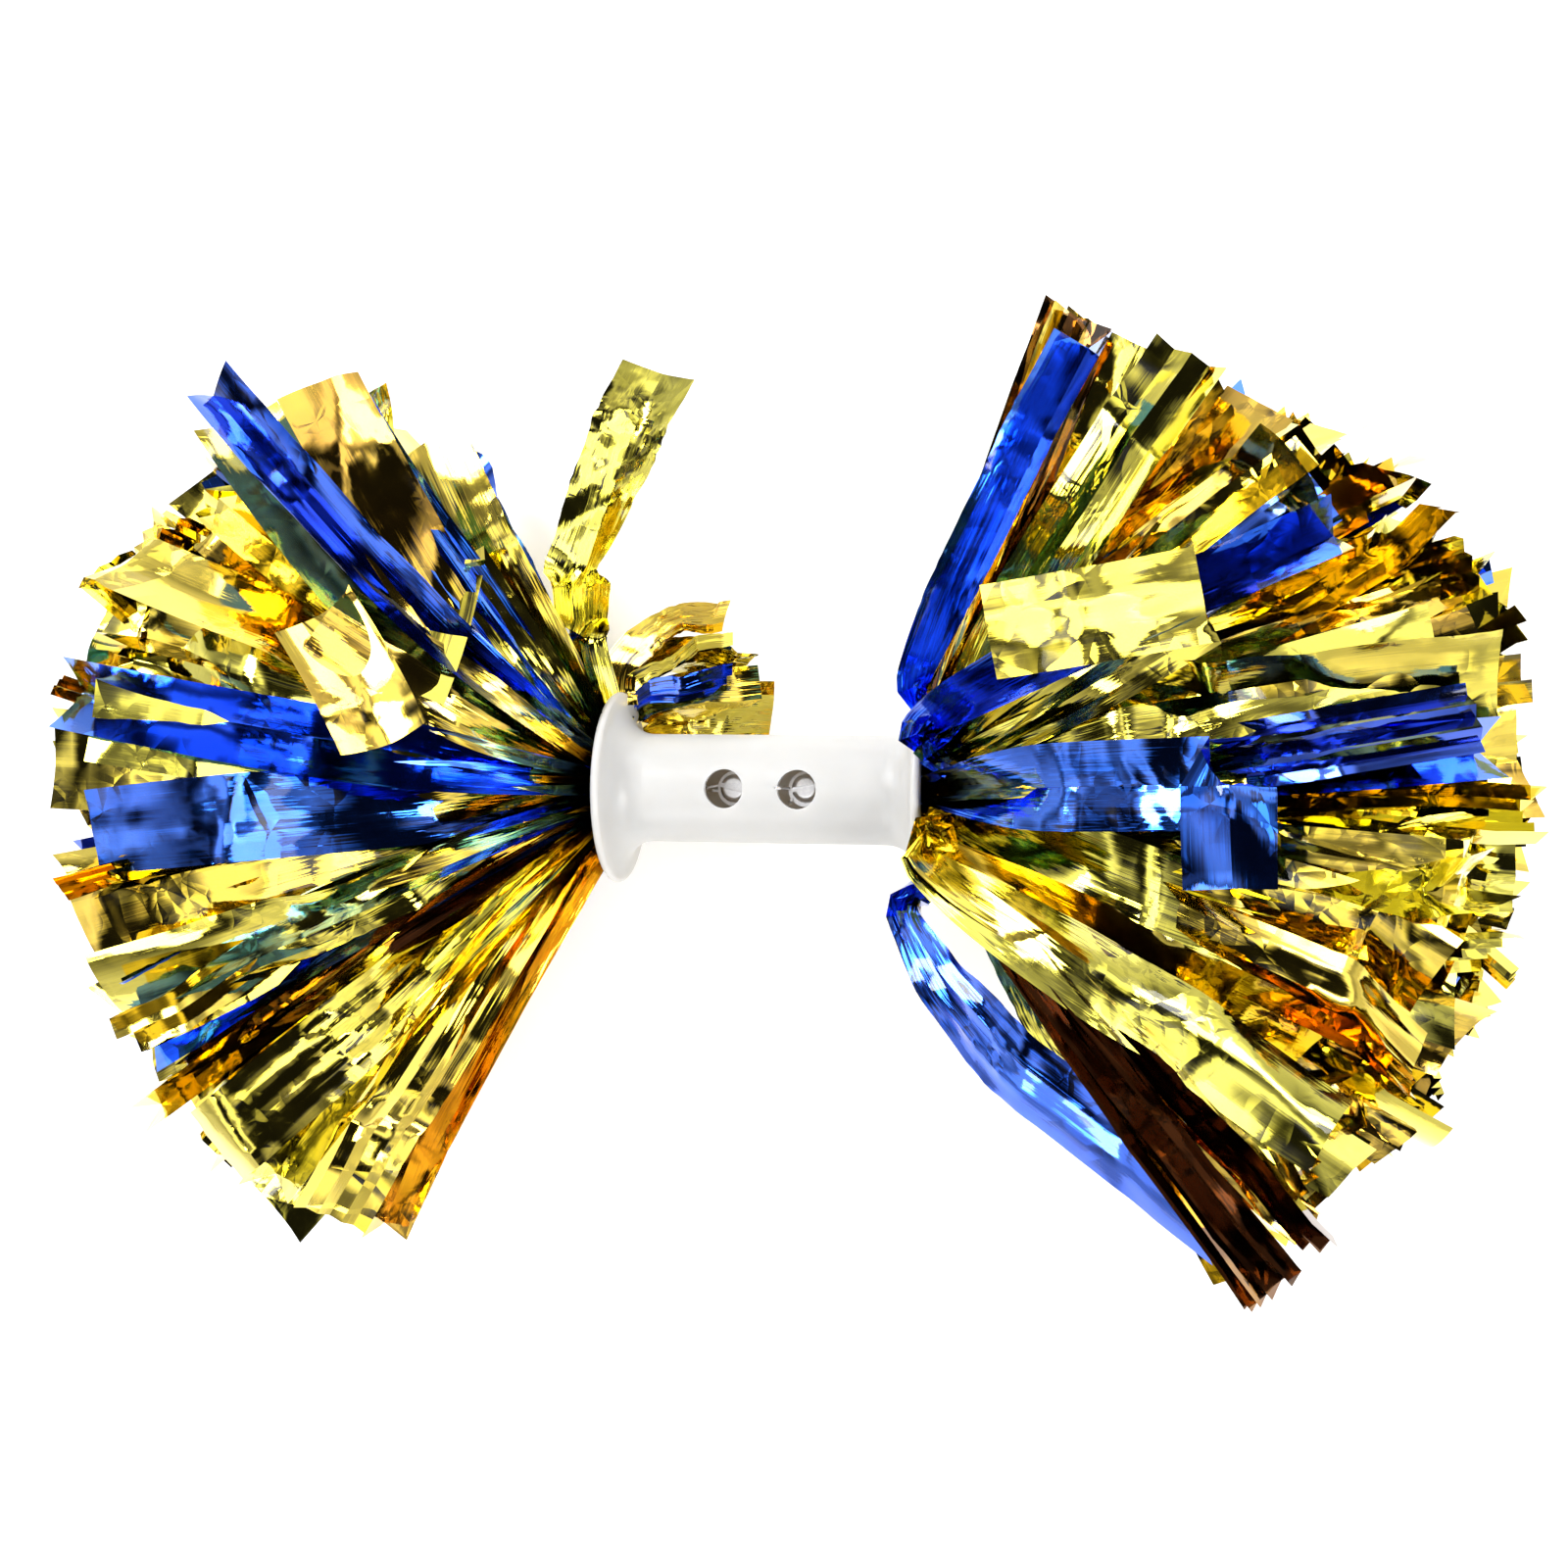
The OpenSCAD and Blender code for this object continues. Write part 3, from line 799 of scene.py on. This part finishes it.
def tall_streamer(lean, turn, roll, length, **changes):
    """One strip of the bundle beside the right flange: angles in degrees and its length in mm."""
    deg = math.radians
    settings = {
        "swerve": 0.0, "curl": 0.0, "fan": math.pi,
        "kinks": random_kinks(4, 5), "tone": rng.uniform(0.0, 0.3),
    }
    settings.update(changes)
    return streamer(
        "right", deg(lean), deg(turn), lean_root=deg(lean + 6), droop=deg(8), roll=deg(roll),
        length=length * MM, cap=deg(50), **settings,
    )


def tall_streamers():
    """The bundle that stands up beside the right flange: a flat strip, a folded one painted dark brown as shade,
    and thin ones.
    """
    flat = tall_streamer(64, 84, 78, 111, open=0.15, open_at=0.75)
    # painted shade: the folded strip gets the dark shade tone
    dark = tall_streamer(71, 84, 64, 113, open=0.5, pleats=1, tone=PAINTED_SHADE_TONE)
    thin = [
        tall_streamer(
            rng.uniform(66, 74), rng.uniform(78, 88), rng.uniform(30, 80), rng.uniform(98, 112),
            open=rng.uniform(0.9, 1.3),
        )
        for _ in range(5)
    ]
    return [flat, dark, *thin]


def build_loose_streamers():
    stray, back, tall = "left_stray_streamer", "left_turned_back_streamers", "right_tall_streamers"
    film_piece(stray + "_gold", "left", [stray_streamer()], "gold", stray)
    turned_back = turned_back_streamers()
    blue = turned_back.pop(2)
    film_piece("left_turned_back_gold", "left", turned_back, "gold", back)
    film_piece("left_turned_back_blue", "left", [blue], "blue", back)
    film_piece("right_tall_gold", "right", tall_streamers(), "gold", tall)


def fluted_points(side, stations, depth, slant):
    """Rows of points round the handle's axis, in a zigzag of pleats."""
    around = GATHER_PLEATS * 4
    turns = np.linspace(0.0, 2.0 * math.pi, around + 1)
    zigzag = np.abs((turns / (2 * math.pi) * GATHER_PLEATS * 2) % 2.0 - 1.0) - 0.5
    rows = []
    for x, radius in stations:
        uneven = rng.normal(0, 0.12, around + 1)
        r = (radius + depth * zigzag * (0.7 + 0.3 * np.sin(turns * 3 + x)) + uneven) * MM
        r[-1] = r[0]
        turn = turns + slant * x
        along = np.full_like(turns, SIGN[side] * x * MM)
        rows.append(PIVOT[side] + np.stack([along, r * np.sin(turn), r * np.cos(turn)], -1))
    return np.array(rows)


def run_of(points, axis):
    """Distance along a grid of points in one direction, by its longest steps."""
    steps = np.linalg.norm(np.diff(points, axis=axis), axis=2).max(axis=1 - axis)
    return np.concatenate([[0.0], np.cumsum(steps)])


def fluted(name, side, stations, depth, node, slant=0.0):
    """Gathered film round the handle's axis, standing for a CAD node."""
    points = fluted_points(side, stations, depth, slant)
    mesh = bpy.data.meshes.new(name)
    mesh.from_pydata(points.reshape(-1, 3).tolist(), [], grid_quads(*points.shape[:2]).tolist())
    note(mesh, "tone", np.full(len(mesh.vertices), GATHER_TONE))
    note(mesh, "out", np.zeros(len(mesh.vertices)))
    across, along = run_of(points, 1), run_of(points, 0)
    lay_flat(mesh, np.stack(np.meshgrid(across, along), -1).reshape(-1, 2))
    mesh.materials.append(FOILS["gold"])
    mesh.update()
    piece = placed(name, mesh)
    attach(piece, BODY_OF[node])
    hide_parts(node)


def build_gathers():
    """The film drawn through the mouth, and the neck that it forms just outside."""
    for side in SIDES:
        fluted(side + "_fold_film", side, FOLD_STATIONS, 1.5, side + "_gathered_fold")
        fluted(side + "_neck_film", side, NECK_STATIONS, 1.6, side + "_streamer_neck", 0.02)


# ---- Stage, light and camera ----

def build_floor():
    mesh = bpy.data.meshes.new("floor")
    corners = [(-1, -1), (1, -1), (1, 1), (-1, 1)]
    mesh.from_pydata([(x * FLOOR_HALF, y * FLOOR_HALF, REST_Z) for x, y in corners], [], [(0, 1, 2, 3)])
    floor = placed("floor", mesh)
    material, _, shader = new_material("pale_floor")
    shader.inputs["Base Color"].default_value = (0.9, 0.9, 0.9, 1.0)
    shader.inputs["Roughness"].default_value = 0.9
    shader.inputs["Emission Color"].default_value = (1.0, 1.0, 1.0, 1.0)
    shader.inputs["Emission Strength"].default_value = 0.32
    mesh.materials.append(material)


def softbox(name, place, size, power):
    light = bpy.data.lights.new(name, "AREA")
    light.shape = "RECTANGLE"
    light.size, light.size_y = size
    light.energy = power
    lamp = placed(name, light)
    lamp.location = place
    lamp.rotation_euler = (-Vector(place)).to_track_quat("-Z", "Y").to_euler()


def build_room():
    """A white room with dark and bright patches overhead, for the foil to catch."""
    world = bpy.data.worlds.new("studio")
    world.use_nodes = True
    tree = world.node_tree
    place = add(tree, "ShaderNodeTexCoord").outputs["Generated"]
    parts = add(tree, "ShaderNodeSeparateXYZ")
    tree.links.new(place, parts.inputs["Vector"])
    patches = ramp(tree, noise(tree, place, 2.1, 1.0), [
        (0.44, (0.01, 0.01, 0.012)),
        (0.5, (0.24, 0.24, 0.26)),
        (0.55, (0.7, 0.7, 0.72)),
        (0.62, (1.9, 1.9, 1.9)),
    ])
    room = add(tree, "ShaderNodeMix", data_type="RGBA")
    tree.links.new(remapped(tree, parts.outputs["Z"], (0.05, 0.4), (0.0, 1.0)), room.inputs["Factor"])
    room.inputs[6].default_value = (0.95, 0.95, 0.95, 1.0)
    tree.links.new(patches.outputs["Color"], room.inputs[7])
    background = tree.nodes["Background"]
    tree.links.new(room.outputs[2], background.inputs["Color"])
    background.inputs["Strength"].default_value = 0.9
    bpy.context.scene.world = world


def build_light():
    build_room()
    for name, (place, size, power) in SOFTBOXES.items():
        softbox(name, place, size, power)


def build_camera():
    """Looks down on the pom pom, tipped towards its right end, as it lies on the floor."""
    right = Vector((math.cos(CAMERA_TILT), 0.0, -math.sin(CAMERA_TILT)))
    back = Vector((math.sin(CAMERA_TILT), 0.0, math.cos(CAMERA_TILT)))
    up = back.cross(right)
    target = right * CAMERA_AIM[0] + up * CAMERA_AIM[1]
    data = bpy.data.cameras.new("camera")
    data.sensor_width = 36.0
    data.angle = CAMERA_FIELD
    data.clip_start = 0.01
    camera = placed("camera", data)
    axes = Matrix((right, up, back)).transposed() @ Matrix.Rotation(CAMERA_ROLL, 3, "Z")
    camera.matrix_world = Matrix.Translation(target + back * CAMERA_DISTANCE) @ axes.to_4x4()
    bpy.context.scene.camera = camera


bpy.context.scene.view_settings.view_transform = "Standard"
build_camera()
build_floor()
build_light()
finish_cad_parts()
build_gathers()
build_tassels()
build_loose_streamers()
